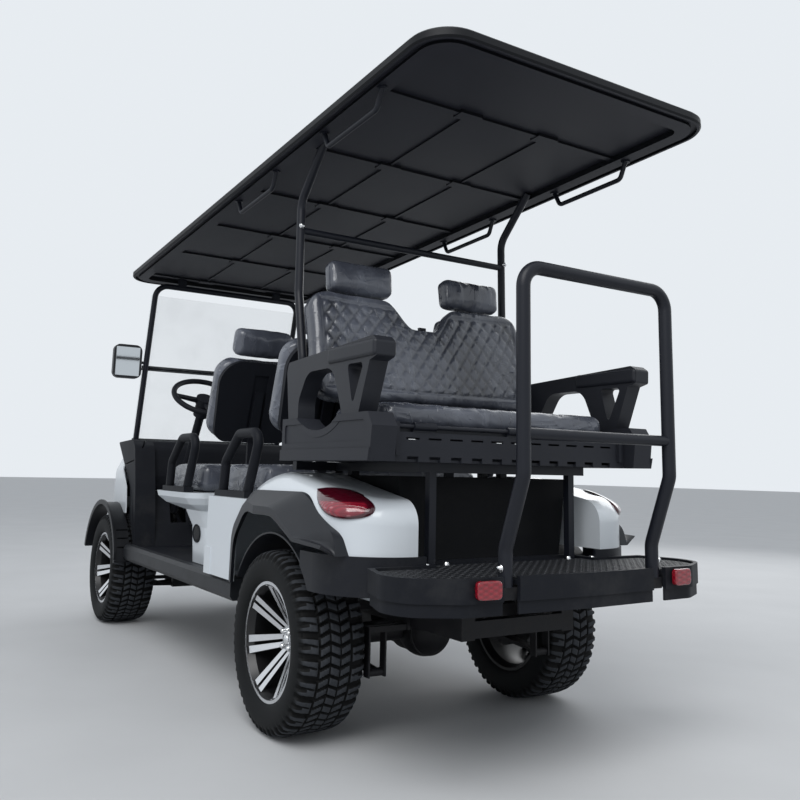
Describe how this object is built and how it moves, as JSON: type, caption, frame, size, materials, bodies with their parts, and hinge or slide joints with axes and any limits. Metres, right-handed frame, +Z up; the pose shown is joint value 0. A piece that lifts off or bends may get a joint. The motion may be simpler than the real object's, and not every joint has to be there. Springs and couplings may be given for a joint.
{
  "type": "six-seat golf cart",
  "caption": "Lifted electric golf cart with two forward bench rows, a rear-facing seat over a footboard with grab rail, a long roof, steering and rolling wheels",
  "frame": {"origin": "on the ground under the middle of the cart's length and width", "axes": "+X forward, +Y to the driver's left, +Z up"},
  "size_m": [3.724, 1.292, 2.1108],
  "materials": {
    "tyre": "moulded rubber",
    "rim": "machined faces with black pockets",
    "frame_black": "satin black paint",
    "panel_white": "gloss",
    "plastic_black": "grained",
    "roof_black": "grained",
    "seat": "stitched, under clear film",
    "lamp_red": "moulded lens",
    "lamp_clear": "clear lens",
    "clear_glass": "clear",
    "steel_dark": "dark chassis paint",
    "battery_case": "plain"
  },
  "bodies": {
    "cart": {"chassis_frame": "steel_dark", "battery_pack": "battery_case", "rear_axle": "steel_dark", "rear_springs": "steel_dark", "front_suspension": "steel_dark", "steering_column": "plastic_black", "floor_pan": "plastic_black", "sill_panels": "plastic_black", "rear_body": "panel_white", "rear_flares": "plastic_black", "rear_skirt": "plastic_black", "footboard": "plastic_black", "grab_bar": "frame_black", "rear_lamps": "lamp_red", "bag_well": "plastic_black", "rear_frame": "frame_black", "rear_seat_tray": "plastic_black", "rear_backrest": "seat", "rear_headrests": "seat", "armrests": "plastic_black", "bench_cushions": "seat", "forward_backrests": "seat", "forward_headrests": "seat", "back_shells": "plastic_black", "hip_restraints": "plastic_black", "front_seat_pod": "panel_white", "front_arch": "frame_black", "front_cowl": "panel_white", "headlamps": "lamp_clear", "dashboard": "plastic_black", "front_fenders": "plastic_black", "front_bumper": "plastic_black", "windshield": "clear_glass", "windshield_trim": "plastic_black", "mirrors": "plastic_black", "roof_shell": "roof_black", "roof_handles": "frame_black", "cowl_hoop": "steel_dark", "spring_towers": "steel_dark", "bumper_horns": "steel_dark", "step_frame": "steel_dark", "tread_plate": "plastic_black", "pedals": "plastic_black"},
    "wheel_rl": {"tyre_rear_left": "tyre", "rim_rear_left": "rim"},
    "wheel_rr": {"tyre_rear_right": "tyre", "rim_rear_right": "rim"},
    "wheel_fl": {"tyre_front_left": "tyre", "rim_front_left": "rim"},
    "wheel_fr": {"tyre_front_right": "tyre", "rim_front_right": "rim"},
    "knuckle_l": {"knuckle_left": "steel_dark"},
    "knuckle_r": {"knuckle_right": "steel_dark"},
    "steering_rack": {"tie_rods": "steel_dark"},
    "steering": {"steering_wheel": "plastic_black"},
    "rear_seat_lid": {"rear_cushion_pan": "frame_black", "rear_cushion": "seat"}
  },
  "joints": [
    {"name": "wheel_rear_left_spin", "type": "hinge", "parent": "cart", "child": "wheel_rl", "pos_m": [-0.928, 0.5, 0.292], "axis": [0, 1, 0], "continuous": true},
    {"name": "wheel_rear_right_spin", "type": "hinge", "parent": "cart", "child": "wheel_rr", "pos_m": [-0.928, -0.5, 0.292], "axis": [0, 1, 0], "continuous": true},
    {"name": "steer_left", "type": "hinge", "parent": "cart", "child": "knuckle_l", "pos_m": [1.372, 0.385, 0.292], "axis": [0, 0, 1], "range_deg": [-28, 28]},
    {"name": "steer_right", "type": "hinge", "parent": "cart", "child": "knuckle_r", "pos_m": [1.372, -0.385, 0.292], "axis": [0, 0, 1], "range_deg": [-28, 28]},
    {"name": "wheel_front_left_spin", "type": "hinge", "parent": "knuckle_l", "child": "wheel_fl", "pos_m": [1.372, 0.5, 0.292], "axis": [0, 1, 0], "continuous": true},
    {"name": "wheel_front_right_spin", "type": "hinge", "parent": "knuckle_r", "child": "wheel_fr", "pos_m": [1.372, -0.5, 0.292], "axis": [0, 1, 0], "continuous": true},
    {"name": "rack_slide", "type": "slide", "parent": "cart", "child": "steering_rack", "axis": [0, 1, 0], "range_m": [-0.047, 0.047]},
    {"name": "steering_turn", "type": "hinge", "parent": "cart", "child": "steering", "pos_m": [0.722, 0.29, 1.222], "axis": [-0.5736, 0, 0.8192], "range_deg": [-270, 270]},
    {"name": "rear_seat_lift", "type": "hinge", "parent": "cart", "child": "rear_seat_lid", "pos_m": [-1.473, 0, 0.985], "axis": [0, -1, 0], "range_deg": [0, 90]}
  ],
  "couplings": [
    {"joint": "steer_right", "follows": "steer_left", "ratio": 1},
    {"joint": "steering_turn", "follows": "steer_left", "ratio": 9.6},
    {"joint": "rack_slide", "follows": "steer_left", "m_per_rad": -0.096}
  ]
}
